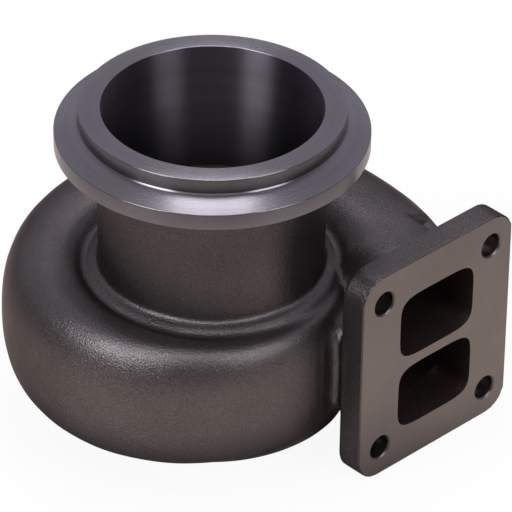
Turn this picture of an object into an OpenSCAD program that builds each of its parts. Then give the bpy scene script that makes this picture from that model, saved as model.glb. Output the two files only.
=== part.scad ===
// Turbine housing of an exhaust turbocharger: one grey iron casting with a divided
// inlet, a spiral scroll in two halves side by side, and a clamped round outlet.
// The origin is on the turbine axis in the plane of the bearing side face.
// +Z points to the outlet, +X out of the inlet flange, and +Y to the inlet duct's side.

/* [Overall] */
// Height from the bearing side face to the outlet face
housing_h = 195; // [190:1:215]
// Height of the scroll's middle plane, which is also the inlet's centre
scroll_mid_z = 44.5; // [42:0.5:50]
// Least thickness of the cast wall
wall = 6.5; // [5:0.5:8]

/* [Outlet] */
// Radius of the outlet cone at its mouth
outlet_mouth_r = 65.3; // [63:0.1:67]
// Radius at the deep end of the outlet cone
outlet_throat_r = 60.5; // [58:0.1:62]
// Depth of the outlet cone
outlet_cone_depth = 81; // [70:1:85]
// Radius of the raised pilot that locates the downpipe
pilot_r = 78.5; // [75:0.5:82]
// Height of the raised pilot
pilot_h = 9.6; // [6:0.1:12]
// Radius of the clamp rim
rim_r = 92.5; // [90:0.5:98]
// Height of the rim's plain cylindrical edge
rim_edge_h = 10.6; // [6:0.1:12]
// Slope of the clamp rim's seat in degrees
rim_slope = 19; // [15:1:22]
// Width of the small chamfers on the turned edges
turned_chamfer = 0.8; // [0.4:0.1:1.2]

/* [Neck] */
// Outer radius of the neck
neck_r = 67.4; // [66.5:0.1:70]
// Outer radius of the collar at the foot of the neck
collar_r = 75.5; // [74:0.5:78]
// Height of the collar's upper edge
collar_z = 88; // [84:1:92]
// Radius of the blend between neck and collar
collar_blend_r = 7; // [4:0.5:8]
// Radius of the round on the collar's edge
collar_round_r = 4; // [2:0.5:5]

/* [Inlet flange] */
// Distance from the turbine axis to the flange face
flange_face_x = 112; // [108:1:120]
// Distance from the turbine axis to the flange centre, to the side
flange_centre_y = 77.7; // [75:0.1:82]
// Width of the flange
flange_w = 124; // [120:1:130]
// Height of the flange
flange_h = 143; // [140:1:150]
// Thickness of the flange
flange_t = 17.5; // [14:0.5:20]
// Radius of the flange corners
flange_corner_r = 16; // [8:1:18]
// Spacing of the bolt holes across the flange
bolt_spacing_w = 88.9; // [86:0.1:92]
// Spacing of the bolt holes up the flange
bolt_spacing_h = 104; // [102:0.5:107]
// Radius of the bolt holes
bolt_hole_r = 7.5; // [6.5:0.1:8.5]
// Width of the chamfers at the bolt holes
bolt_chamfer = 0.5; // [0.3:0.1:1]
// Radius of the room cut for each nut behind the flange
nut_room_r = 12; // [11:0.5:13]
// Length of that room on the duct's far side
nut_room_far_l = 38; // [24:1:42]
// Length of that room on the side of the turbine axis
nut_room_near_l = 12; // [8:1:13]
// Radius of the blend where the duct meets the flange
duct_root_r = 5; // [3:0.5:6]
// Radius of the upright hollow between the scroll's end and the flange
hollow_r = 8; // [5:0.5:10]
// Half height of the web behind that hollow
web_half_h = 30; // [26:1:34]
// Set-in of the web from the flange's near edge and from the ports
web_set_in = 1.5; // [1:0.5:3]

/* [Inlet ports] */
// Width of each port
port_w = 61; // [56:1:64]
// Height of each port
port_h = 43.8; // [40:0.1:46]
// Thickness of the divider between the ports
divider_t = 6.8; // [5:0.1:9]
// Exponent of the rounded corners at the ports
port_power = 5; // [4:0.5:7]

/* [Scroll outside] */
// Radius of the scroll at its small end
scroll_end_r = 86.5; // [84:0.5:90]
// Growth of that radius over the full spiral
scroll_growth = 72.5; // [66:0.5:76]
// Radius of the scroll's crest at its small end
crest_end_r = 78; // [77:0.5:80]
// Growth of the crest radius over the full spiral
crest_growth = 27; // [22:0.5:30]
// Half height of the scroll at its small end
half_height_end = 37; // [35:0.5:39]
// Growth of the half height over the full spiral
half_height_growth = 20; // [17:0.5:23]
// Radius at which the outside of the scroll closes on the core
closing_r = 69; // [67:0.5:72]
// Exponent of the scroll's rounded section
scroll_power = 2.5; // [2.2:0.1:3]
// Half width of the duct where it meets the flange
duct_half_w = 37; // [37:0.5:40]
// Half height of the duct where it meets the flange
duct_half_h = 54; // [54:0.5:58]
// Exponent of the duct's section at the flange
duct_power = 2.9; // [2.7:0.1:4]
// How quickly the duct opens out from the flange into the scroll
duct_swell = 4.3; // [3:0.1:5]

/* [Scroll passages] */
// Radius at which the passages open towards the wheel
throat_r = 70; // [68:0.5:72]
// Slope of the passages' side walls where they widen from the nozzle
side_slope = 1; // [0.8:0.05:1.1]
// Exponent of the passages' corner at the divider and the nozzle
throat_power = 10; // [6:1:12]
// Wall outside the passages at their small end
tongue_wall = 8.5; // [8:0.5:9]
// Angle where the passages end, past the inlet, in degrees
passage_end = 384; // [375:1:388]

/* [Wheel room] */
// Radius of the wheel's outlet bore
wheel_outlet_r = 52.5; // [50:0.5:55]
// Radius of the wheel room at the nozzle
wheel_room_r = 60; // [58:0.5:62]
// Width of the nozzle that feeds the wheel
nozzle_w = 30; // [26:1:34]
// Radius of the divider's inner edge
divider_tip_r = 66; // [64:0.5:68]
// Thickness of the divider's inner edge
divider_tip_t = 3.6; // [3:0.1:5]
// Height of the curve between nozzle and outlet bore
shroud_curve_h = 18; // [12:1:20]

/* [Bearing side] */
// Outer radius of the bearing side ring
ring_r = 84; // [83:0.5:86]
// Radius of the register that holds the bearing housing
register_r = 69; // [66:0.5:70]
// Depth of the register
register_depth = 8; // [5:0.5:10]
// Number of clamp screws
clamp_screws = 8; // [6:1:10]
// Radius of the circle on which the clamp screws stand
clamp_circle_r = 76.5; // [76:0.5:78]
// Core radius of the tapped holes for the clamp screws
clamp_hole_r = 3.4; // [2.5:0.1:3.6]
// Depth of those tapped holes
clamp_hole_depth = 15; // [12:1:16]
// Radius of the room that is cut in the scroll's side for the bearing housing's clamps
face_clear_r = 87; // [86:0.5:88]
// Least wall between that room and the passages
face_wall = 8; // [7:0.5:9]

/* [Hidden] */

// Room that a cut takes past the face it opens
over = 1;
// Number of sides on the round surfaces
round_sides = 128;
hole_sides = 40;
// Steps in a quarter round of a turned outline
arc_steps = 6;

// Heights on the turbine axis
shoulder_z = housing_h - pilot_h;
rim_top_z = shoulder_z - (rim_r - pilot_r) * tan(rim_slope);
rim_bottom_z = rim_top_z - rim_edge_h;
rim_back_z = rim_bottom_z - (rim_r - neck_r) * tan(rim_slope);
cone_end_z = housing_h - outlet_cone_depth;
nozzle_top_z = scroll_mid_z + nozzle_w / 2;
nozzle_bottom_z = scroll_mid_z - nozzle_w / 2;
// The nozzle's mouth reaches into the passages and is a little narrower there
mouth_r = throat_r + 4;
mouth_draft = 1;
mouth_divider_t = divider_t + 2;
// Depth of the turned seats for the nuts behind the flange
nut_seat = 0.5;
// How far below the bearing side's face the scroll is cut away for the clamps
bulge_room = 20;

// The spiral runs from the inlet side, at 90 degrees, round to the tongue
spiral_start = 90;
spiral_end = 380;
duct_blend_end = 130;
screw_clear_x = 32;
outside_split = 253;
outside_end = 400;
flange_back_x = flange_face_x - flange_t;

outside_points = 30;
passage_points = 20;
spiral_step = 8;
duct_steps = 9;
root_steps = 4;
// How far the blend at the flange runs on into the flange
root_overlap = 0.05;

// Share of the spiral's growth that is left at an angle
function left(a) = (spiral_end - a) / (spiral_end - spiral_start);

// Outside of the scroll: outer radius, crest radius and half height at an angle
function outer_r(a) = scroll_end_r + scroll_growth * left(a);
function crest_r(a) = crest_end_r + crest_growth * left(a);
function half_height(a) = half_height_end + half_height_growth * left(a);

// The duct's length up to the angle where the plain spiral begins
blend_len = flange_back_x + crest_r(duct_blend_end) * (duct_blend_end - spiral_start) * PI / 180;

// How far the duct has opened out, from 0 at the flange to 1 on the plain spiral
function opened(way) = 1 - pow(1 - min(1, max(0, way / blend_len)), duct_swell);
function way_at_x(x) = flange_back_x - x;
function way_at_angle(a) = flange_back_x + crest_r(duct_blend_end) * (a - spiral_start) * PI / 180;
function mix(from, to, share) = from + (to - from) * share;

// The duct's extra reach where it blends into the flange
function root(way) =
    let (gap = duct_root_r - max(0, way))
    gap > 0 ? duct_root_r - sqrt(duct_root_r * duct_root_r - gap * gap) : 0;

// Near side of the duct or of a passage: straight from the flange, then round the axis
function near_side(x, straight_y, round_r) =
    x >= round_r ? straight_y : max(straight_y, sqrt(round_r * round_r - x * x));

// A section is [place, crest, outer reach, inner reach, half height, exponent], where
// place is [x] on the straight duct or [x, angle] on the spiral
function duct_outside(x) =
    let (o = opened(way_at_x(x)),
         crest = mix(flange_centre_y, crest_r(duct_blend_end), o),
         outer = mix(flange_centre_y + duct_half_w, outer_r(duct_blend_end), o))
    [[x], crest, outer - crest + root(way_at_x(x)),
     crest - near_side(x, flange_centre_y - duct_half_w, closing_r) + root(way_at_x(x)),
     mix(duct_half_h, half_height(duct_blend_end), o) + root(way_at_x(x)),
     mix(duct_power, scroll_power, o)];

function spiral_outside(a) =
    let (o = opened(way_at_angle(a)),
         b = max(a, duct_blend_end),
         crest = mix(flange_centre_y, crest_r(b), o),
         outer = mix(flange_centre_y + duct_half_w, outer_r(b), o))
    [[0, a], crest, outer - crest, crest - closing_r,
     mix(duct_half_h, half_height(b), o),
     mix(duct_power, scroll_power, o)];

// Wall outside the passages, which thickens towards the tongue
function passage_wall(a) =
    wall + (tongue_wall - wall) * pow(max(0, 1 - left(a)), 2);

// Smooth step from 0 at one place on the duct to 1 at another
function eased(x, from, to) =
    let (t = min(1, max(0, (from - x) / (from - to))))
    t * t * (3 - 2 * t);

// A passage keeps its port's form past the nut rooms and then opens into the scroll,
// and its side walls take the nozzle's slope sooner, to clear the bearing side's screws
room_x = flange_back_x - nut_room_far_l;
function passage_opened(x) = eased(x, room_x, 0);
function walls_sloped(x) = eased(x, room_x, screw_clear_x);

port_near_y = flange_centre_y - port_w / 2;
port_far_y = flange_centre_y + port_w / 2;

function duct_passage(x) =
    let (s = spiral_outside(spiral_start),
         o = passage_opened(x),
         near = near_side(x, port_near_y, throat_r),
         far = mix(port_far_y, s[1] + s[2] - wall, o),
         top = mix(divider_t / 2 + port_h, s[4] - wall, o))
    [[x], (near + far) / 2, (far - near) / 2, (far - near) / 2,
     (top - divider_t / 2) / 2, mix(port_power, scroll_power, o),
     mix(port_power, throat_power, o)];

function spiral_passage(a) =
    let (s = spiral_outside(a),
         far = s[1] + s[2] - passage_wall(a),
         top = s[4] - passage_wall(a))
    [[0, a], (throat_r + far) / 2, (far - throat_r) / 2, (far - throat_r) / 2,
     (top - divider_t / 2) / 2, s[5], throat_power];

// Signed power, for the rounded sections
function spow(v, e) = sign(v) * pow(abs(v), e);

// Points of a section s, across and above its middle: a seventh value is the exponent
// of the quarter that is nearest to the axis and to the divider
function section_points(s, points) =
    [for (k = [0:points - 1])
        let (t = 360 * (k + 0.5) / points,
             reach = cos(t) > 0 ? s[2] : s[3],
             e = len(s) > 6 && cos(t) < 0 && sin(t) < 0 ? s[6] : s[5])
        [s[1] + reach * spow(cos(t), 2 / e), s[4] * spow(sin(t), 2 / e)]];

// A section's point in space, on the straight duct or on the spiral
function placed(place, across, z) =
    len(place) == 1 ? [place[0], across, z]
                    : [across * cos(place[1]), across * sin(place[1]), z];

// Pulls a point of a passage in until the wall w is left inside the outside section s:
// on the near side the core closes the scroll, and the nozzle's height is left open
function walled(p, s, w) =
    let (across = p[0] - s[1],
         near_w = len(s[0]) == 1 ? w * (1 - walls_sloped(s[0][0])) : 0,
         reach = across > 0 ? s[2] - w : s[3] - near_w,
         past = pow(abs(across) / reach, s[5]) + pow(p[1] / (s[4] - w), s[5]),
         k = past > 1 ? pow(past, -1 / s[5]) : 1,
         least_z = min(p[1], across > 0 ? divider_t / 2 : nozzle_w / 2))
    across < 0 && p[1] <= nozzle_w / 2 ? p : [s[1] + across * k, max(p[1] * k, least_z)];

// Height above the middle plane that a passage may reach at a distance across: its side
// walls slope away from the nozzle, but where it still has its port's form they only
// leave a wall under the bearing side's face
function side_limit(place, across) =
    let (on_duct = len(place) == 1,
         r = on_duct ? norm([place[0], across]) : across,
         slope_z = nozzle_w / 2 + max(0, r - throat_r) * side_slope,
         face_z = scroll_mid_z - face_wall + max(0, r - face_clear_r),
         port_z = min(face_z, max(slope_z, divider_t / 2 + port_h)))
    on_duct ? mix(port_z, slope_z, walls_sloped(place[0])) : slope_z;

// One ring of points of the passage above the middle plane: s is its own section, and
// out and w are the outside section and the wall that it leaves, or [] and 0 in the flange
function passage_ring(s, out, w) =
    [for (p = section_points(s, passage_points))
        let (lifted = [p[0], p[1] + divider_t / 2 + s[4]],
             q = w > 0 ? walled(lifted, out, w) : lifted)
        placed(s[0], q[0], min(q[1], side_limit(s[0], q[0])))];

// A closed body through rings of points
module swept(rings) {
    n = len(rings[0]);
    last = len(rings) - 1;
    points = [for (r = rings) each r];
    sides = [for (i = [0:last - 1], k = [0:n - 1])
        let (a = i * n + k, b = i * n + (k + 1) % n)
        each [[a, b, b + n], [a, b + n, a + n]]];
    first_cap = [[for (k = [n - 1:-1:0]) k]];
    last_cap = [[for (k = [0:n - 1]) last * n + k]];
    polyhedron(points, concat(first_cap, sides, last_cap), convexity = 8);
}

// Places along the straight duct, from x up to the spiral's start
function duct_places(from, steps) = [for (i = [0:steps - 1]) from * (1 - i / steps)];
root_places = [flange_back_x + flange_t / 2, flange_back_x + root_overlap,
               for (i = [1:root_steps - 1])
                   flange_back_x - duct_root_r * (1 - cos(90 * i / root_steps))];
function spiral_places(from, to) =
    let (n = round((to - from) / spiral_step))
    [for (i = [0:n]) from + (to - from) * i / n];

// A body through sections of the outside
module through_sections(sections) {
    swept([for (s = sections)
        [for (p = section_points(s, outside_points))
            placed(s[0], p[0], scroll_mid_z + p[1])]]);
}

// Outside of the duct and the scroll: the second body runs into the side of the first
module scroll_outside() {
    through_sections(concat(
        [for (x = root_places) duct_outside(x)],
        [for (x = duct_places(flange_back_x - duct_root_r, duct_steps)) duct_outside(x)],
        [for (a = spiral_places(spiral_start, outside_split)) spiral_outside(a)]));
    through_sections(
        [for (a = spiral_places(outside_split, outside_end)) spiral_outside(a)]);
}

// The upper gas passage from its port to the tongue, above a middle plane at z = 0
module passage() {
    swept(concat(
        [for (x = [flange_face_x + over, flange_back_x])
            passage_ring(duct_passage(x), [], 0)],
        [for (x = duct_places(flange_back_x - duct_root_r, duct_steps))
            passage_ring(duct_passage(x), duct_outside(x), wall)],
        [for (a = spiral_places(spiral_start, passage_end))
            passage_ring(spiral_passage(a), spiral_outside(a), passage_wall(a))]));
}

// Points of an arc in the turned outline
function arc(r, z, radius, from, to) =
    [for (i = [0:arc_steps])
        let (t = from + (to - from) * i / arc_steps)
        [r + radius * cos(t), z + radius * sin(t)]];

// Outside of the turned core: bearing side ring, which is faced afterwards, collar, neck
// and clamp rim
module core_outside() {
    c = turned_chamfer;
    blend_z = collar_z + collar_blend_r;
    rotate_extrude($fn = round_sides)
        polygon(concat(
            [[0, -over], [ring_r, -over], [ring_r, nozzle_bottom_z - 10],
             [collar_r, nozzle_bottom_z]],
            arc(collar_r - collar_round_r, collar_z - collar_round_r, collar_round_r, 0, 90),
            arc(neck_r + collar_blend_r, blend_z, collar_blend_r, 270, 180),
            [[neck_r, rim_back_z], [rim_r - c, rim_bottom_z], [rim_r, rim_bottom_z + c],
             [rim_r, rim_top_z - c], [rim_r - c, rim_top_z + c * tan(rim_slope)],
             [pilot_r + c, shoulder_z - c * tan(rim_slope)], [pilot_r, shoulder_z + c],
             [pilot_r, housing_h - c], [pilot_r - c, housing_h], [0, housing_h]]));
}

// Everything that is bored on the turbine axis, from the clamps' room to the outlet
module axis_bores() {
    c = turned_chamfer;
    rotate_extrude($fn = round_sides)
        polygon(concat(
            [[0, -bulge_room], [face_clear_r, -bulge_room], [face_clear_r, 0],
             [register_r + c, 0], [register_r, c],
             [register_r, register_depth], [wheel_room_r, register_depth],
             [wheel_room_r, nozzle_bottom_z], [divider_tip_r, nozzle_bottom_z],
             [mouth_r, nozzle_bottom_z + mouth_draft],
             [mouth_r, scroll_mid_z - mouth_divider_t / 2],
             [divider_tip_r, scroll_mid_z - divider_tip_t / 2],
             [divider_tip_r, scroll_mid_z + divider_tip_t / 2],
             [mouth_r, scroll_mid_z + mouth_divider_t / 2],
             [mouth_r, nozzle_top_z - mouth_draft],
             [divider_tip_r, nozzle_top_z], [wheel_room_r, nozzle_top_z]],
            [for (i = [1:arc_steps])
                let (t = 90 * i / arc_steps)
                [wheel_outlet_r + (wheel_room_r - wheel_outlet_r) * (1 - sin(t)),
                 nozzle_top_z + shroud_curve_h * (1 - cos(t))]],
            [
             [wheel_outlet_r, cone_end_z - (outlet_throat_r - wheel_outlet_r)],
             [outlet_throat_r, cone_end_z], [outlet_mouth_r, housing_h - c],
             [outlet_mouth_r + c + over, housing_h + over], [0, housing_h + over]]));
}

// Places something at the bolt holes on the given sides of the flange, its axis along +X
module at_flange_bolts(sides) {
    for (y = sides, z = [-1, 1])
        translate([0, flange_centre_y + y * bolt_spacing_w / 2,
                   scroll_mid_z + z * bolt_spacing_h / 2])
            rotate([0, 90, 0]) children();
}

// Rounded plate of the inlet flange
module inlet_flange() {
    half_w = flange_w / 2 - flange_corner_r;
    half_h = flange_h / 2 - flange_corner_r;
    translate([flange_back_x, flange_centre_y, scroll_mid_z])
        rotate([90, 0, 90])
            linear_extrude(flange_t) {
                square([flange_w, 2 * half_h], center = true);
                square([2 * half_w, flange_h], center = true);
                for (y = [-1, 1], z = [-1, 1])
                    translate([y * half_w, z * half_h])
                        circle(flange_corner_r, $fn = round_sides);
            }
}

// Web between the scroll's end and the flange's near edge, with an upright hollow
module tongue_web() {
    near_y = flange_centre_y - flange_w / 2 + web_set_in;
    far_y = port_near_y - web_set_in;
    back_x = wheel_room_r + web_set_in;
    translate([0, 0, scroll_mid_z - web_half_h])
        linear_extrude(2 * web_half_h)
            polygon(concat(
                arc(flange_back_x, near_y - hollow_r, hollow_r, 90, 180),
                [[back_x, near_y - hollow_r], [back_x, far_y],
                 [flange_back_x + flange_t / 2, far_y],
                 [flange_back_x + flange_t / 2, near_y]]));
}

// Bolt holes through the flange with a chamfer on the face, and the nuts' room behind it
module flange_bolt_cuts() {
    at_flange_bolts([-1, 1]) {
        translate([0, 0, flange_back_x - over])
            cylinder(h = flange_t + 2 * over, r = bolt_hole_r, $fn = hole_sides);
        translate([0, 0, flange_face_x - bolt_chamfer])
            cylinder(h = bolt_chamfer + over, r1 = bolt_hole_r,
                     r2 = bolt_hole_r + bolt_chamfer + over, $fn = hole_sides);
    }
    at_flange_bolts([1])
        translate([0, 0, flange_back_x - nut_room_far_l])
            cylinder(h = nut_room_far_l + nut_seat, r = nut_room_r, $fn = hole_sides);
    at_flange_bolts([-1])
        translate([0, 0, flange_back_x - nut_room_near_l])
            cylinder(h = nut_room_near_l + nut_seat, r = nut_room_r, $fn = hole_sides);
}

// Tapped holes for the screws that clamp the bearing housing
module clamp_screw_holes() {
    for (i = [0:clamp_screws - 1])
        rotate(360 * (i + 0.5) / clamp_screws)
            translate([clamp_circle_r, 0, -over])
                cylinder(h = clamp_hole_depth + over, r = clamp_hole_r, $fn = hole_sides);
}

// The whole casting
module turbine_housing() {
    color("dimgray")
        difference() {
            union() {
                core_outside();
                scroll_outside();
                inlet_flange();
                tongue_web();
            }
            axis_bores();
            translate([0, 0, scroll_mid_z]) {
                passage();
                mirror([0, 0, 1]) passage();
            }
            flange_bolt_cuts();
            clamp_screw_holes();
        }
}

turbine_housing();
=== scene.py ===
# The looks of a turbocharger's turbine housing: one casting with turned and milled faces
import math
from contextlib import contextmanager
import bmesh
import bpy
import numpy as np
from mathutils import Matrix, Vector


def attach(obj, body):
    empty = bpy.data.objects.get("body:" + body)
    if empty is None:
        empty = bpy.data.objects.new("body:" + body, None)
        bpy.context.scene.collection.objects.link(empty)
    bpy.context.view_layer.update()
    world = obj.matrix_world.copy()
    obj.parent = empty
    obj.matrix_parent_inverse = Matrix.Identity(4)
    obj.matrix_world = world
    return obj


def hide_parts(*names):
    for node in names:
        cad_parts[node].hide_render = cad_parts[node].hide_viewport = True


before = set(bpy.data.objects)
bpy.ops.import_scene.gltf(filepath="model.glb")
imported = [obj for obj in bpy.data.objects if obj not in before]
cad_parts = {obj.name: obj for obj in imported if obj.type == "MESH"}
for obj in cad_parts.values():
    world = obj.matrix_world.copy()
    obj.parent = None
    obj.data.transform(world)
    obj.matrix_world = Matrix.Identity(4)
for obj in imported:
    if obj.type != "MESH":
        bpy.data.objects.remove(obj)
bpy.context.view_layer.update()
MM = 0.001

# Sizes in millimetres and degrees, as in the solid model
MID_Z, HOUSING_H = 44.5, 195.0
NECK_R, NECK_LOW_Z = 67.4, 30
COLLAR_R, COLLAR_Z, COLLAR_ROUND, COLLAR_LOW_Z = 75.5, 88.0, 6.5, 25
RING_R, FACE_CLEAR_R = 84.0, 87.0
CONE_Z, CONE_W, CONE_H, CONE_SIDE = 19.5, 8.5, 10, 13.1
CLOSING_R, THROAT_R = 69.0, 70.0
NOZZLE_W, WALL, TONGUE_EXTRA = 30.0, 6.5, 2

# Scroll: its sizes at the small end, what they gain up to the large end, and its angles
SMALL_OUTER_R, SMALL_CREST_R, SMALL_HALF_H = 86.5, 78, 37
OUTER_GAIN, CREST_GAIN, HALF_H_GAIN = 72.5, 27, 20
SPIRAL_START, BLEND_END, SPIRAL_END, TAIL_END = 90, 130, 380, 400
TAIL_SLOPE = 1.4
DUCT_HALF_W, DUCT_HALF_H = 37, 54
DUCT_POWER, SCROLL_POWER, SWELL_POWER = 2.9, 2.5, 4.3

# Inlet flange with its holes, nut rooms, ports and web
FACE_X, FLANGE_T, FLANGE_Y = 112.0, 17.5, 77.7
FLANGE_W, FLANGE_H, FLANGE_CORNER = 124.0, 143.0, 16.0
BACK_X = FACE_X - FLANGE_T
BACK_ROUND, FACE_ROUND, FACE_STOCK = 1.6, 1.3, 0.4
BOLT_W, BOLT_H, BOLT_R, NUT_R = 88.9, 104.0, 7.5, 12.0
FAR_ROOM_X, NEAR_ROOM_X, ROOM_ROUND = BACK_X - 38, BACK_X - 12, 2
PORT_W, PORT_H, DIVIDER_T = 61.0, 43.8, 6.8
WEB_HALF_H, HOLLOW_R, WEB_SET_IN, WEB_LOW_X, WEB_ROUND = 30.0, 8.0, 1.5, 60, 10
WEB_NEAR_Y = FLANGE_Y - FLANGE_W / 2 + WEB_SET_IN - HOLLOW_R
WEB_FAR_Y = FLANGE_Y - PORT_W / 2 - WEB_SET_IN

# How widely neighbouring forms of the casting run into each other
COLLAR_BLEND, RING_BLEND, SCROLL_BLEND, DUCT_BLEND = 4, 3, 6, 5
WEB_BLEND, FLANGE_BLEND, FAR_ROOM_BLEND, NEAR_ROOM_BLEND = 4, 6, 5, 2

# Turned parts: wheel room, bearing register, screw holes, clamp rim, pilot and outlet cone
WHEEL_OUT_R, WHEEL_ROOM_R, SHROUD_CURVE_H = 52.5, 60, 18
REGISTER_R, REGISTER_DEPTH, REGISTER_BREAK = 69, 8, 0.8
MOUTH_R, MOUTH_DRAFT, MOUTH_DIVIDER_HALF = 74, 1, 4.4
DIVIDER_TIP_R, DIVIDER_TIP_HALF = 66, 1.8
SCREWS, SCREW_CIRCLE_R, SCREW_R, SCREW_DEPTH, SCREW_TIP = 8, 76.5, 3.4, 15, 1.5
RIM_R, RIM_EDGE_H, RIM_SLOPE, TURNED_EDGE_R = 92.5, 10.6, 19, 0.6
PILOT_R, PILOT_H, BORE_R = 78.5, 9.6, 65.3
CONE_END_R, CONE_END_Z = 60.5, 114

# Height where the casting's mesh ends and the turned outlet begins
SEAM_Z = 104.0


def mix(a, b, t):
    return a + (b - a) * t


def left(a):
    """How much of the spiral is still to come at angle a, from 1 down to 0"""
    return (SPIRAL_END - a) / (SPIRAL_END - SPIRAL_START)


def outer_r(a):
    return SMALL_OUTER_R + OUTER_GAIN * left(a)


def crest_r(a):
    return SMALL_CREST_R + CREST_GAIN * left(a)


def half_height(a):
    return SMALL_HALF_H + HALF_H_GAIN * left(a)


# Way from the flange, along the crest, over which the duct turns into the scroll
BLEND_WAY = BACK_X + crest_r(BLEND_END) * math.radians(BLEND_END - SPIRAL_START)


def opened(way):
    return 1 - (1 - np.clip(way / BLEND_WAY, 0, 1)) ** SWELL_POWER


# Sections of the outside: crest, outer reach, inner reach, half height and exponent
def duct_section(x):
    o = opened(BACK_X - x)
    crest = mix(FLANGE_Y, crest_r(BLEND_END), o)
    outer = mix(FLANGE_Y + DUCT_HALF_W, outer_r(BLEND_END), o)
    closing = np.sqrt(np.maximum(CLOSING_R ** 2 - x ** 2, 0))
    near = np.maximum(FLANGE_Y - DUCT_HALF_W, closing)
    return (crest, outer - crest, crest - near,
            mix(DUCT_HALF_H, half_height(BLEND_END), o), mix(DUCT_POWER, SCROLL_POWER, o))


def spiral_section(a):
    o = opened(BACK_X + crest_r(BLEND_END) * np.radians(a - SPIRAL_START))
    b = np.maximum(a, BLEND_END)
    crest = mix(FLANGE_Y, crest_r(b), o)
    outer = mix(FLANGE_Y + DUCT_HALF_W, outer_r(b), o)
    return (crest, outer - crest, crest - CLOSING_R,
            mix(DUCT_HALF_H, half_height(b), o), mix(DUCT_POWER, SCROLL_POWER, o))


def to_section(across, z, section):
    """Distance to a rounded section, for a point across and above its middle"""
    crest, reach_out, reach_in, half, e = section
    u = across - crest
    reach = np.where(u > 0, reach_out, reach_in)
    u, v = np.abs(u) / reach, np.abs(z) / half
    g = np.maximum((u ** e + v ** e) ** (1 / e), 1e-3)
    slope = np.hypot((u / g) ** (e - 1) / reach, (v / g) ** (e - 1) / half)
    return (g - 1) / np.maximum(slope, 1e-4)


def soft_min(a, b, k):
    h = np.clip(0.5 + 0.5 * (b - a) / k, 0, 1)
    return b + (a - b) * h - k * h * (1 - h)


def soft_max(a, b, k):
    return -soft_min(-a, -b, k)


def rounded(p, q, r):
    """Distance to a corner of two planes at distances p and q, rounded with radius r"""
    p, q = p + r, q + r
    return np.hypot(np.maximum(p, 0), np.maximum(q, 0)) + np.minimum(np.maximum(p, q), 0) - r


def casting(P):
    """Distance to the casting's outside, before anything is bored or milled"""
    x, y, z = P[:, 0], P[:, 1], P[:, 2]
    r = np.hypot(x, y)
    h = z - MID_Z
    a = np.degrees(np.arctan2(y, x)) % 360
    late = np.where(a < SPIRAL_START, a + 360, a)
    scroll = to_section(r, h, spiral_section(np.minimum(late, TAIL_END)))
    scroll = np.maximum(scroll, (late - TAIL_END) * TAIL_SLOPE)
    duct = to_section(y, h, duct_section(np.clip(x, 0, BACK_X)))
    duct = np.maximum(duct, x - BACK_X - 6)
    scroll = np.where((x > 0) & (y > 0), soft_min(scroll, duct, DUCT_BLEND), scroll)

    neck = np.maximum(r - NECK_R, np.maximum(NECK_LOW_Z - z, z - SEAM_Z - 6))
    bead = np.hypot(r - COLLAR_R + COLLAR_ROUND, np.maximum(z - COLLAR_Z + COLLAR_ROUND, 0))
    collar = np.maximum(bead - COLLAR_ROUND, COLLAR_LOW_Z - z)
    cone = ((r - RING_R) * CONE_H + (z - CONE_Z) * CONE_W) / CONE_SIDE
    ring = np.maximum(soft_max(r - RING_R, cone, RING_BLEND), -2 - z)
    core = soft_min(soft_min(neck, collar, COLLAR_BLEND), ring, RING_BLEND)
    body = soft_min(core, scroll, SCROLL_BLEND)

    beside = np.abs(y - FLANGE_Y) - FLANGE_W / 2
    above = np.abs(h) - FLANGE_H / 2
    plate = rounded(beside, above, FLANGE_CORNER)
    plate = np.maximum(rounded(plate, BACK_X - x, BACK_ROUND),
                       rounded(plate, x - FACE_X - FACE_STOCK, FACE_ROUND))
    across = np.maximum(np.maximum(WEB_LOW_X - x, x - BACK_X - 0.5),
                        np.maximum(WEB_NEAR_Y - y, y - WEB_FAR_Y))
    hollow = HOLLOW_R - np.hypot(x - BACK_X, y - WEB_NEAR_Y)
    web = rounded(np.maximum(across, hollow), np.abs(h) - WEB_HALF_H, WEB_ROUND)
    body = soft_min(body, soft_min(web, plate, WEB_BLEND), FLANGE_BLEND)

    for side, room_x, blend in ((1, FAR_ROOM_X, FAR_ROOM_BLEND),
                                (-1, NEAR_ROOM_X, NEAR_ROOM_BLEND)):
        for up in (1, -1):
            nut = np.hypot(y - FLANGE_Y - side * BOLT_W / 2, h - up * BOLT_H / 2) - NUT_R
            room = rounded(nut, np.maximum(room_x - x, x - BACK_X), ROOM_ROUND)
            body = soft_max(body, -room, blend)
    return body


def skin_waves(P):
    """Long soft waves of a cast skin, which stay off the flange"""
    x, y, z = P.T
    waves = (np.sin(x / 9.1 + 1.7 * np.sin(z / 17)) * np.sin(y / 8.3 + z / 23)
             + 0.6 * np.sin(x / 4.3 - y / 5.1 + z / 6.7) * np.sin(z / 5.9 + y / 11))
    return 0.10 * waves * (x < BACK_X - 4)


def field(P):
    return casting(P) - skin_waves(P)


CELL_CORNERS = ((0, 0), (1, 0), (1, 1), (0, 1))


def part_sheets(F):
    """Turns the weakest corner of each cell face whose like signs meet only across it,
    so that no two sheets of the surface share an edge"""
    for _ in range(12):
        knots = 0
        for u, v in ((0, 1), (0, 2), (1, 2)):
            def inside(i, j):
                at = [slice(None)] * 3
                at[u] = slice(i, F.shape[u] - 1 + i)
                at[v] = slice(j, F.shape[v] - 1 + j)
                return F[tuple(at)] < 0
            a, b, c, d = (inside(i, j) for i, j in CELL_CORNERS)
            for place in np.argwhere((a == c) & (b == d) & (a != b)):
                around = []
                for i, j in CELL_CORNERS:
                    at = place.copy()
                    at[u] += i
                    at[v] += j
                    around.append(tuple(at))
                weakest = min(around, key=lambda at: abs(F[at]))
                F[weakest] = -F[weakest] - 1e-6
                knots += 1
        if not knots:
            return


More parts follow.
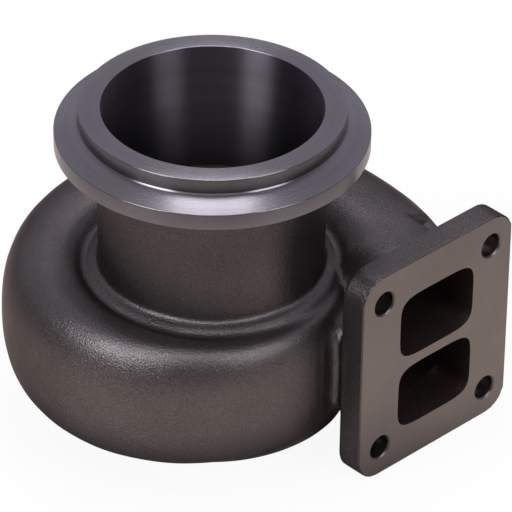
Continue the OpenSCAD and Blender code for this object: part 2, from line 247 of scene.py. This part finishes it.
def field_grid(low, high, step):
    counts = np.ceil((high - low) / step).astype(int) + 1
    X, Y, Z = (low[i] + step * np.arange(counts[i]) for i in range(3))
    F = np.empty(counts)
    Y, Z = np.meshgrid(Y, Z, indexing="ij")
    for i, x in enumerate(X):
        layer = np.stack([np.full(Y.size, x), Y.ravel(), Z.ravel()], 1)
        F[i] = field(layer).reshape(Y.shape)
    return F


def grid_mesh(F):
    """One point in each cell that the surface crosses, and a face round each crossed edge"""
    cells = tuple(n - 1 for n in F.shape)
    total = np.zeros(cells + (3,))
    hits = np.zeros(cells)
    corner = {(i, j, k): F[i:i + cells[0], j:j + cells[1], k:k + cells[2]]
              for i in (0, 1) for j in (0, 1) for k in (0, 1)}
    for c, a in corner.items():
        for axis in range(3):
            if c[axis]:
                continue
            b = corner[tuple(1 if n == axis else v for n, v in enumerate(c))]
            crossed = (a < 0) != (b < 0)
            t = np.where(crossed, a / np.where(crossed, a - b, 1), 0)
            for n in range(3):
                total[..., n] += crossed * (t if n == axis else c[n])
            hits += crossed
    used = hits > 0
    number = -np.ones(cells, int)
    number[used] = np.arange(used.sum())
    faces = []
    for axis in range(3):
        a = np.moveaxis(F, axis, 0)[:-1]
        b = np.moveaxis(F, axis, 0)[1:]
        crossed = ((a < 0) != (b < 0))[:, 1:-1, 1:-1]
        outwards = (a < 0)[:, 1:-1, 1:-1][crossed]
        if axis == 1:
            outwards = ~outwards
        at = np.argwhere(crossed)
        cell = np.moveaxis(number, axis, 0)
        i, j, k = at[:, 0], at[:, 1] + 1, at[:, 2] + 1
        quad = np.stack([cell[i, j - 1, k - 1], cell[i, j, k - 1],
                         cell[i, j, k], cell[i, j - 1, k]], 1)
        quad[~outwards] = quad[~outwards][:, ::-1]
        faces.append(quad)
    return np.argwhere(used) + total[used] / hits[used][:, None], np.vstack(faces)


def evened(points, faces):
    """Each point moved halfway to the middle of its neighbours"""
    near = np.zeros_like(points)
    n = np.zeros(len(points))
    for c in range(4):
        neighbours = points[faces[:, (c + 1) % 4]] + points[faces[:, c - 1]]
        np.add.at(near, faces[:, c], neighbours)
        np.add.at(n, faces[:, c], 2)
    return mix(points, near / n[:, None], 0.5)


def pulled_on(points, step, probe=0.2):
    """Each point moved along the field's slope to its zero, by less than a grid step"""
    probes = np.eye(3) * probe
    slope = np.stack([field(points + e) - field(points - e) for e in probes], 1) / (2 * probe)
    steepness = np.maximum((slope ** 2).sum(1), 0.05)
    pull = slope * (field(points) / steepness)[:, None]
    size = np.linalg.norm(pull, axis=1)
    return points - pull * np.minimum(1, 0.6 * step / np.maximum(size, 1e-9))[:, None]


def surface_of(low, high, step):
    """Mesh of the field's zero surface between two corners"""
    F = field_grid(low, high, step)
    part_sheets(F)
    points, faces = grid_mesh(F)
    points = points * step + low
    for even_out in (False, True, True, False):
        if even_out:
            points = evened(points, faces)
        points = pulled_on(points, step)
    return points, faces


# Meshes and cuts
def new_object(name, points, faces):
    mesh = bpy.data.meshes.new(name)
    mesh.from_pydata([tuple(p) for p in np.asarray(points) * MM], [],
                     [tuple(int(i) for i in f) for f in faces])
    mesh.validate()
    piece = bpy.data.objects.new(name, mesh)
    bpy.context.collection.objects.link(piece)
    return piece


@contextmanager
def edited(mesh):
    bm = bmesh.new()
    bm.from_mesh(mesh)
    yield bm
    bm.to_mesh(mesh)
    bm.free()


def closed_object(name, points, faces, gap=0.0004):
    """An object whose doubled points are merged and whose faces look outwards"""
    piece = new_object(name, points, faces)
    with edited(piece.data) as bm:
        bmesh.ops.remove_doubles(bm, verts=bm.verts, dist=gap * MM)
        bmesh.ops.dissolve_degenerate(bm, edges=bm.edges, dist=gap * MM)
        wires = [edge for edge in bm.edges if edge.is_wire]
        bmesh.ops.delete(bm, geom=wires, context="EDGES")
        bmesh.ops.recalc_face_normals(bm, faces=bm.faces)
    return piece


def lathe(name, outline, sides, axis="z", centre=(0, 0, 0)):
    """A turned body from an outline of (radius, height) points"""
    n = len(outline)
    points, faces = [], []
    for i, t in enumerate(np.radians(np.arange(sides) * 360 / sides)):
        j = (i + 1) % sides
        for k, (r, h) in enumerate(outline):
            m = (k + 1) % n
            p = (r * math.cos(t), r * math.sin(t), h)
            points.append(p if axis == "z" else (p[2], p[0], p[1]))
            faces.append((i * n + k, j * n + k, j * n + m, i * n + m))
    return closed_object(name, np.array(points) + centre, faces)


def swept(name, rings):
    n = len(rings[0])
    faces = [tuple(range(n))[::-1]]
    faces += [(i * n + k, i * n + (k + 1) % n, (i + 1) * n + (k + 1) % n, (i + 1) * n + k)
              for i in range(len(rings) - 1) for k in range(n)]
    faces.append(tuple((len(rings) - 1) * n + k for k in range(n)))
    return closed_object(name, np.vstack(rings), faces)


def cut(piece, tool, slot):
    """Takes the tool's form out of the piece, and leaves the cut in one of its materials"""
    for m in piece.data.materials:
        tool.data.materials.append(m)
    tool.data.polygons.foreach_set("material_index", [slot] * len(tool.data.polygons))
    mod = piece.modifiers.new("cut", "BOOLEAN")
    mod.operation = "DIFFERENCE"
    mod.solver = "MANIFOLD"
    mod.object = tool
    bpy.context.view_layer.objects.active = piece
    bpy.ops.object.modifier_apply(modifier=mod.name)
    bpy.data.objects.remove(tool)


def drop_slivers(mesh, gap=0.002):
    """Splits the cuts' many-sided faces and takes out those without any area"""
    with edited(mesh) as bm:
        bmesh.ops.remove_doubles(bm, verts=bm.verts, dist=gap * MM)
        bmesh.ops.triangulate(bm, faces=[f for f in bm.faces if len(f.verts) > 4])
        bmesh.ops.dissolve_degenerate(bm, edges=bm.edges, dist=gap * MM)


def sharpen_finish_edges(mesh):
    """Keeps the edges between two finishes sharp, however shallow they are"""
    with edited(mesh) as bm:
        for edge in bm.edges:
            if len({face.material_index for face in edge.link_faces}) > 1:
                edge.smooth = False


# The gas passages, from the ports round to the tongue
SLOPE_END_X = 32
PORT_POWER, CORNER_POWER = 5, 10
RING_POINTS = 36


def eased(x, start, end):
    t = min(1, max(0, (start - x) / (start - end)))
    return t * t * (3 - 2 * t)


def near_side(x, straight, r):
    return straight if x >= r else max(straight, math.sqrt(r * r - x * x))


def passage_ring(x=None, a=None):
    """Ring of the upper passage at x along the duct, or at angle a round the scroll"""
    on_duct = a is None
    if on_duct:
        s = [float(v) for v in duct_section(np.float64(x))]
        o, sloped = eased(x, FAR_ROOM_X, 0), eased(x, FAR_ROOM_X, SLOPE_END_X)
        start = [float(v) for v in spiral_section(np.float64(SPIRAL_START))]
        near = near_side(x, FLANGE_Y - PORT_W / 2, THROAT_R)
        far = mix(FLANGE_Y + PORT_W / 2, start[0] + start[1] - WALL, o)
        top = mix(DIVIDER_T / 2 + PORT_H, start[3] - WALL, o)
        e, corner_e = mix(PORT_POWER, SCROLL_POWER, o), mix(PORT_POWER, CORNER_POWER, o)
        wall = WALL
    else:
        s = [float(v) for v in spiral_section(np.float64(a))]
        wall = WALL + TONGUE_EXTRA * max(0, 1 - left(a)) ** 2
        sloped, near, far, top = 1, THROAT_R, s[0] + s[1] - wall, s[3] - wall
        e, corner_e = s[4], CORNER_POWER
    middle, reach, half = (near + far) / 2, (far - near) / 2, (top - DIVIDER_T / 2) / 2
    ring = []
    for k in range(RING_POINTS):
        t = 2 * math.pi * (k + 0.5) / RING_POINTS
        c, n = math.cos(t), math.sin(t)
        p = 2 / (corner_e if c < 0 and n < 0 else e)
        u = middle + reach * math.copysign(abs(c) ** p, c)
        z = half * math.copysign(abs(n) ** p, n) + DIVIDER_T / 2 + half
        off = u - s[0]
        in_port = on_duct and x > BACK_X - 5
        in_nozzle = off < 0 and z <= NOZZLE_W / 2
        if not in_nozzle and not in_port:
            room = s[1] - wall if off > 0 else s[2] - (wall * (1 - sloped) if on_duct else 0)
            past = (abs(off) / room) ** s[4] + (z / (s[3] - wall)) ** s[4]
            pull = past ** (-1 / s[4]) if past > 1 else 1
            least = min(z, DIVIDER_T / 2 if off > 0 else NOZZLE_W / 2)
            u, z = s[0] + off * pull, max(z * pull, least)
        r = math.hypot(x, u) if on_duct else u
        slope_z = NOZZLE_W / 2 + max(0, r - THROAT_R)
        z = min(z, mix(max(slope_z, DIVIDER_T / 2 + PORT_H), slope_z, sloped))
        ring.append((x, u, z) if on_duct else
                    (u * math.cos(math.radians(a)), u * math.sin(math.radians(a)), z))
    return np.array(ring)


def passage(side):
    rings = [passage_ring(x=x) for x in [FACE_X + 1, *np.arange(BACK_X, 1, -4.5)]]
    rings += [passage_ring(a=a) for a in np.arange(SPIRAL_START, SPIRAL_END + 5, 4.2)]
    return swept("passage", [r * (1, 1, side) + (0, 0, MID_Z) for r in rings])


# Cutters for what is turned, milled and drilled
def core_cutter():
    """What is bored from below the seam, and the room above it for the turned outlet"""
    top, low = MID_Z + NOZZLE_W / 2, MID_Z - NOZZLE_W / 2
    outline = [(0, -30), (FACE_CLEAR_R, -30), (FACE_CLEAR_R, 0),
               (REGISTER_R + REGISTER_BREAK, 0), (REGISTER_R, REGISTER_BREAK),
               (REGISTER_R, REGISTER_DEPTH), (WHEEL_ROOM_R, REGISTER_DEPTH),
               (WHEEL_ROOM_R, low), (DIVIDER_TIP_R, low), (MOUTH_R, low + MOUTH_DRAFT),
               (MOUTH_R, MID_Z - MOUTH_DIVIDER_HALF), (DIVIDER_TIP_R, MID_Z - DIVIDER_TIP_HALF),
               (DIVIDER_TIP_R, MID_Z + DIVIDER_TIP_HALF), (MOUTH_R, MID_Z + MOUTH_DIVIDER_HALF),
               (MOUTH_R, top - MOUTH_DRAFT), (DIVIDER_TIP_R, top)]
    outline += [(WHEEL_OUT_R + (WHEEL_ROOM_R - WHEEL_OUT_R) * (1 - math.sin(t)),
                 top + SHROUD_CURVE_H * (1 - math.cos(t)))
                for t in np.radians(np.linspace(0, 90, 10))]
    outline += [(WHEEL_OUT_R, SEAM_Z), (90, SEAM_Z), (90, SEAM_Z + 30), (0, SEAM_Z + 30)]
    return lathe("core_cutter", outline, 192)


def hole_cutters():
    """Bolt holes with their nut seats in the flange, and screw holes in the bearing side"""
    bolt = [(0, BACK_X - 8), (BOLT_R, BACK_X - 8), (BOLT_R, FACE_X - 0.9),
            (BOLT_R + 1.9, FACE_X + 1), (0, FACE_X + 1)]
    nut = [(0, BACK_X - 11), (NUT_R, BACK_X - 11), (NUT_R, BACK_X + 0.5), (0, BACK_X + 0.5)]
    screw = [(0, -2), (SCREW_R, -2), (SCREW_R, SCREW_DEPTH), (0, SCREW_DEPTH + SCREW_TIP)]
    for side in (-1, 1):
        for up in (-1, 1):
            at = (0, FLANGE_Y + side * BOLT_W / 2, MID_Z + up * BOLT_H / 2)
            yield lathe("bolt_hole", bolt, 64, "x", at)
            yield lathe("nut_seat", nut, 64, "x", at)
    for i in range(SCREWS):
        t = math.radians(360 / SCREWS * (i + 0.5))
        at = (SCREW_CIRCLE_R * math.cos(t), SCREW_CIRCLE_R * math.sin(t), 0)
        yield lathe("screw_hole", screw, 32, "z", at)


def face_cutter():
    w, h = FLANGE_W / 2 + 10, FLANGE_H / 2 + 10
    ring = np.array([(FACE_X, FLANGE_Y + y, MID_Z + z)
                     for y, z in ((-w, -h), (w, -h), (w, h), (-w, h))])
    return swept("face_cutter", [ring, ring + (15, 0, 0)])


def arc(r, z, radius, start, end):
    return [(r + radius * math.cos(t), z + radius * math.sin(t))
            for t in np.radians(np.linspace(start, end, 5))]


def outlet():
    """The outlet above the seam: neck, clamp rim, pilot and the cone inside"""
    slope = math.tan(math.radians(RIM_SLOPE))
    c = TURNED_EDGE_R
    shoulder = HOUSING_H - PILOT_H
    rim_top = shoulder - (RIM_R - PILOT_R) * slope
    rim_low = rim_top - RIM_EDGE_H
    back = rim_low - (RIM_R - NECK_R) * slope
    outline = [(WHEEL_OUT_R, SEAM_Z)]
    outline += [(NECK_R, z) for z in np.linspace(SEAM_Z, back - 2.5, 8)]
    outline += [(NECK_R + 0.5, back - 0.8), (NECK_R + 2, back + 0.5)]
    outline += [(RIM_R - c, rim_low), (RIM_R, rim_low + c)]
    outline += arc(RIM_R - c, rim_top - c, c, 0, 90 - RIM_SLOPE)
    outline += [(PILOT_R + c, shoulder - c * slope), (PILOT_R, shoulder + c)]
    outline += arc(PILOT_R - c, HOUSING_H - c, c, 0, 90)
    outline += arc(BORE_R + c, HOUSING_H - c, c, 90, 180)
    outline += [(mix(BORE_R, CONE_END_R, t), mix(HOUSING_H - c, CONE_END_Z, t))
                for t in np.linspace(0.1, 1, 9)]
    outline += [(WHEEL_OUT_R, SEAM_Z + 2)]
    return lathe("outlet_rim", outline, 288)


# Node materials
class Nodes:
    def __init__(self, name):
        self.mat = bpy.data.materials.new(name)
        self.mat.use_nodes = True
        self.tree = self.mat.node_tree
        self.shader = self.tree.nodes["Principled BSDF"]
        self.place = self.tree.nodes.new("ShaderNodeTexCoord").outputs["Object"]

    def feed(self, socket, value):
        if isinstance(value, bpy.types.NodeSocket):
            self.tree.links.new(value, socket)
        else:
            socket.default_value = value

    def set(self, slot, value):
        self.feed(self.shader.inputs[slot], value)

    def add(self, kind, inputs=(), **settings):
        node = self.tree.nodes.new("ShaderNode" + kind)
        for key, value in settings.items():
            setattr(node, key, value)
        for slot, value in dict(inputs).items():
            self.feed(node.inputs[slot], value)
        return node

    def noise(self, scale, detail, rough, place=None):
        inputs = {"Vector": place or self.place, "Scale": scale, "Detail": detail,
                  "Roughness": rough}
        return self.add("TexNoise", inputs).outputs["Fac"]

    def ramp(self, fac, low, dark, high, light):
        node = self.add("ValToRGB", {"Fac": fac})
        for e, at, colour in zip(node.color_ramp.elements, (low, high), (dark, light)):
            e.position = at
            e.color = (*colour, 1)
        return node.outputs["Color"]

    def spread(self, value, low, high, to_low=0.0, to_high=1.0):
        inputs = {"Value": value, "From Min": low, "From Max": high,
                  "To Min": to_low, "To Max": to_high}
        return self.add("MapRange", inputs).outputs[0]

    def math(self, op, a, b):
        return self.add("Math", {0: a, 1: b}, operation=op).outputs[0]

    def blend(self, fac, a, b, kind="MIX"):
        inputs = {"Fac": fac, "Color1": a, "Color2": b}
        return self.add("MixRGB", inputs, blend_type=kind).outputs[0]

    def times(self, a, b):
        return self.blend(1.0, a, b, "MULTIPLY")

    def bump(self, height, depth, normal=None):
        inputs = {"Height": height, "Distance": depth, "Strength": 1.0}
        if normal:
            inputs["Normal"] = normal
        return self.add("Bump", inputs).outputs["Normal"]


def darker(colour, share):
    return tuple(share * v for v in colour)


def cast_skin(name, dark, light, rough):
    """A sand cast skin, a little darker towards the clamp rim"""
    n = Nodes(name)
    cloud = n.noise(11, 3, 0.5)
    sand = n.noise(1000, 2, 0.6)
    pits = n.noise(330, 2, 0.5)
    tone = n.ramp(cloud, 0.35, dark, 0.65, light)
    speck = n.ramp(sand, 0.3, (0.71, 0.71, 0.73), 0.7, (1.27, 1.26, 1.25))
    height = n.add("SeparateXYZ", {0: n.place}).outputs[2]
    dim = n.spread(height, 0.093, 0.103, 1.0, 0.84)
    n.set("Base Color", n.times(n.times(tone, speck), dim))
    n.set("Metallic", 0.92)
    n.set("Specular Tint", (0.45, 0.42, 0.42, 1))
    n.set("Roughness", n.spread(cloud, 0.3, 0.7, rough + 0.04, rough - 0.03))
    n.set("Normal", n.bump(sand, 0.00037, n.bump(pits, 0.00009)))
    return n.mat


def turned(name, colour, rough, drawn_out, deep_shade=1.0):
    """Fine rings of a lathe tool round the axis. A last argument below 1 is painted shade that
    darkens the colour deeper towards the wheel
    """
    n = Nodes(name)
    parts = n.add("SeparateXYZ", {0: n.place})
    flat = n.add("CombineXYZ", {0: parts.outputs[0], 1: parts.outputs[1]}).outputs[0]
    r = n.add("VectorMath", {0: flat}, operation="LENGTH").outputs["Value"]
    path = n.add("CombineXYZ", {0: r, 1: parts.outputs[2], 2: 0.0}).outputs[0]
    lines = n.noise(2600, 3, 0.7, path)
    broad = n.noise(160, 3, 0.6, path)
    stain = n.noise(22, 4, 0.6)
    tone = n.ramp(stain, 0.3, darker(colour, 0.86), 0.7, colour)
    bands = n.ramp(broad, 0.3, (0.8, 0.8, 0.8), 0.7, (1.1, 1.1, 1.1))
    tone = n.blend(0.5, tone, bands, "MULTIPLY")
    # painted shade: the colour darkens deeper in the bore, towards the wheel
    if deep_shade < 1:
        tone = n.times(tone, n.spread(parts.outputs[2], 0.118, 0.165, deep_shade, 1.0))
    n.set("Base Color", tone)
    n.set("Metallic", 1.0)
    n.set("Anisotropic", drawn_out)
    n.set("Anisotropic Rotation", 0.25)
    n.set("Tangent", n.add("Tangent", direction_type="RADIAL", axis="Z").outputs[0])
    n.set("Roughness", n.spread(lines, 0.3, 0.7, rough - 0.05, rough + 0.05))
    n.set("Normal", n.bump(lines, 0.00001))
    return n.mat


def milled(name, colour, rough):
    """Straight marks of a milling cutter along y"""
    n = Nodes(name)
    stretched = n.add("Mapping", {"Vector": n.place, "Scale": (1, 0.06, 1)}).outputs[0]
    lines = n.noise(1500, 3, 0.7, stretched)
    stain = n.noise(18, 5, 0.65)
    n.set("Base Color", n.ramp(stain, 0.3, darker(colour, 0.85), 0.7, colour))
    n.set("Metallic", 1.0)
    n.set("Roughness", n.spread(lines, 0.3, 0.7, rough - 0.05, rough + 0.07))
    n.set("Normal", n.bump(lines, 0.00002))
    return n.mat


def drilled(name, dark, light, rough):
    n = Nodes(name)
    marks = n.noise(700, 3, 0.6)
    n.set("Base Color", n.ramp(n.noise(90, 3, 0.6), 0.35, dark, 0.65, light))
    n.set("Metallic", 1.0)
    n.set("Roughness", n.spread(marks, 0.3, 0.7, rough - 0.06, rough + 0.06))
    n.set("Normal", n.bump(marks, 0.00006))
    return n.mat


skin = cast_skin("cast_skin", (0.096, 0.088, 0.087), (0.128, 0.117, 0.115), 0.335)
inner_skin = cast_skin("inner_skin", (0.05, 0.036, 0.03), (0.075, 0.055, 0.048), 0.6)
turned_face = turned("turned_face", (0.208, 0.2, 0.213), 0.26, 0.84)
# the bore's turned wall, with painted shade deeper towards the wheel
bored_wall = turned("bored_wall", (0.125, 0.116, 0.132), 0.4, 0.97, 0.3)
milled_face = milled("milled_face", (0.205, 0.187, 0.178), 0.42)
hole_wall = drilled("hole_wall", (0.10, 0.085, 0.08), (0.17, 0.15, 0.14), 0.4)

# The casting: its skin, then the passages, bores, holes and the milled face
step = 1.6
box_low, box_high = np.array([-142.0, -120.0, -31.0]), np.array([117.0, 153.0, 119.0])
body = new_object("cast_body", *surface_of(box_low, box_high, step))
for m in (skin, inner_skin, turned_face, milled_face, hole_wall):
    body.data.materials.append(m)
INNER, TURNED, MILLED, DRILLED = 1, 2, 3, 4
cut(body, passage(1), INNER)
cut(body, passage(-1), INNER)
cut(body, core_cutter(), TURNED)
cut(body, face_cutter(), MILLED)
for tool in hole_cutters():
    cut(body, tool, DRILLED)
drop_slivers(body.data)

# The outlet: cast below the rim and in the wheel room, bored inside, turned elsewhere
rim = outlet()
for m in (skin, turned_face, bored_wall, inner_skin):
    rim.data.materials.append(m)
RIM_SKIN, RIM_TURNED, RIM_BORED, RIM_INNER = 0, 1, 2, 3
for p in rim.data.polygons:
    r = math.hypot(p.center.x, p.center.y) / MM
    z = p.center.z / MM
    inward = p.normal.x * p.center.x + p.normal.y * p.center.y < 0
    if z < CONE_END_Z + 1 and r < CONE_END_R + 1.5:
        p.material_index = RIM_INNER
    elif inward and abs(p.normal.z) < 0.3:
        p.material_index = RIM_BORED
    elif z < 163 and r < 71:
        p.material_index = RIM_SKIN
    else:
        p.material_index = RIM_TURNED

for piece in (body, rim):
    mesh = piece.data
    mesh.shade_smooth()
    mesh.set_sharp_from_angle(angle=math.radians(32))
    if piece is body:
        sharpen_finish_edges(mesh)
    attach(piece, "root")
    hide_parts("turbine_housing")

# The camera, from the ellipses of the outlet and the corners of the flange
AZ, EL, ROLL, FOCAL = 0.8035422, 0.6021315, 0.0140708, 322.05
AIM_X, AIM_Y, REACH = 25.142767, -87.154195, 2654.9235
back = Vector((math.sin(AZ) * math.cos(EL), -math.cos(AZ) * math.cos(EL), math.sin(EL)))
level = (-back).cross(Vector((0, 0, 1))).normalized()
upright = level.cross(-back)
right = math.cos(ROLL) * level + math.sin(ROLL) * upright
up = -math.sin(ROLL) * level + math.cos(ROLL) * upright
eye = (right * AIM_X + up * AIM_Y + back * REACH + Vector((0, 0, HOUSING_H))) * MM
camera = bpy.data.objects.new("camera", bpy.data.cameras.new("camera"))
bpy.context.collection.objects.link(camera)
camera.data.lens, camera.data.sensor_width = FOCAL, 36
camera.data.clip_end = 50
camera.matrix_world = Matrix([*([right[i], up[i], back[i], eye[i]] for i in range(3)),
                              [0, 0, 0, 1]])
bpy.context.scene.camera = camera

# A pale floor that shows white to the camera and keeps the shadow; in the metal it shows a
# painted warm reflection, a painted dark reflection further off, and a painted shadow near the
# object
HALF = 9000
floor = new_object("floor", [(-HALF, -HALF, 0), (HALF, -HALF, 0), (HALF, HALF, 0),
                             (-HALF, HALF, 0)], [(0, 1, 2, 3)])
floor.location.z = -0.0272
n = Nodes("floor_paper")
away = n.add("VectorMath", {0: n.place}, operation="LENGTH").outputs["Value"]
path = n.add("LightPath").outputs
# painted dark reflection: beyond 0.27 m the floor turns dark where the metal reflects it
far_dark_reflection = n.spread(away, 0.27, 0.6)
# painted shadow: near the object the floor turns dark where the metal reflects it
near_painted_shadow = n.spread(away, 0.12, 0.23, 0.85, 0.0)
painted_dark_in_reflections = n.math("MULTIPLY", n.math("ADD", far_dark_reflection, near_painted_shadow), path["Is Glossy Ray"])
n.set("Base Color", n.blend(painted_dark_in_reflections, (0.9, 0.9, 0.9, 1), (0.2, 0.18, 0.17, 1)))
n.set("Roughness", 0.9)
reflected = n.math("MAXIMUM", path["Is Glossy Ray"], path["Is Transmission Ray"])
seen = n.math("MAXIMUM", path["Is Camera Ray"], reflected)
# painted warm reflection: the floor is tinted warm where the metal reflects it
warm_reflection_tint = n.blend(path["Is Glossy Ray"], (1, 1, 1, 1), (1.0, 0.83, 0.74, 1))
glow = n.add("Emission", {"Color": warm_reflection_tint, "Strength": 1.0})
shown = n.math("MULTIPLY", n.math("SUBTRACT", seen, painted_dark_in_reflections), 0.92)
both = n.add("MixShader", {0: shown, 1: n.shader.outputs[0], 2: glow.outputs[0]})
n.tree.links.new(both.outputs[0], n.tree.nodes["Material Output"].inputs["Surface"])
floor.data.materials.append(n.mat)

# The studio's walls: pale behind the object, dark behind the camera
world = bpy.data.worlds.new("studio")
bpy.context.scene.world = world
world.use_nodes = True
nodes, links = world.node_tree.nodes, world.node_tree.links
sky = nodes["Background"]
ahead = nodes.new("ShaderNodeVectorMath")
ahead.operation = "DOT_PRODUCT"
links.new(nodes.new("ShaderNodeTexCoord").outputs["Generated"], ahead.inputs[0])
ahead.inputs[1].default_value = (-math.sin(AZ) * 0.9, math.cos(AZ) * 0.9, 0.44)
shade = nodes.new("ShaderNodeMapRange")
shade.interpolation_type = "SMOOTHSTEP"
for slot, value in (("From Min", -0.4), ("From Max", 0.9), ("To Min", 0.12), ("To Max", 0.68)):
    shade.inputs[slot].default_value = value
links.new(ahead.outputs["Value"], shade.inputs["Value"])
links.new(shade.outputs[0], sky.inputs["Strength"])
sky.inputs["Color"].default_value = (0.90, 0.87, 1.0, 1)


def lamp(name, azimuth, elevation, away, width, height, level):
    """A soft box at an azimuth from the camera's, which lights a facing surface to level.
    A low one stands upright, and a high one looks at the object."""
    a = AZ - math.pi / 2 + math.radians(azimuth)
    e = math.radians(elevation)
    at = Vector((math.cos(a) * math.cos(e), math.sin(a) * math.cos(e), math.sin(e))) * away
    light = bpy.data.lights.new(name, "AREA")
    light.shape, light.size, light.size_y = "RECTANGLE", width, height
    light.energy = math.pi ** 2 * away ** 2 * level
    light.color = (0.96, 0.94, 1.0)
    box = bpy.data.objects.new(name, light)
    box.location = at
    facing = at if elevation > 60 else Vector((at.x, at.y, 0))
    box.rotation_euler = facing.to_track_quat("Z", "Y").to_euler()
    bpy.context.collection.objects.link(box)


lamp("left_box", -47, 42, 2.1, 0.8, 1.6, 0.68)
lamp("right_box", 48, 42, 2.1, 0.8, 1.6, 0.40)
lamp("front_box", -2, 61, 1.9, 1.2, 0.4, 0.19)
lamp("top_box", 180, 73, 1.7, 0.56, 0.6, 0.29)

bpy.context.scene.view_settings.view_transform = "Standard"
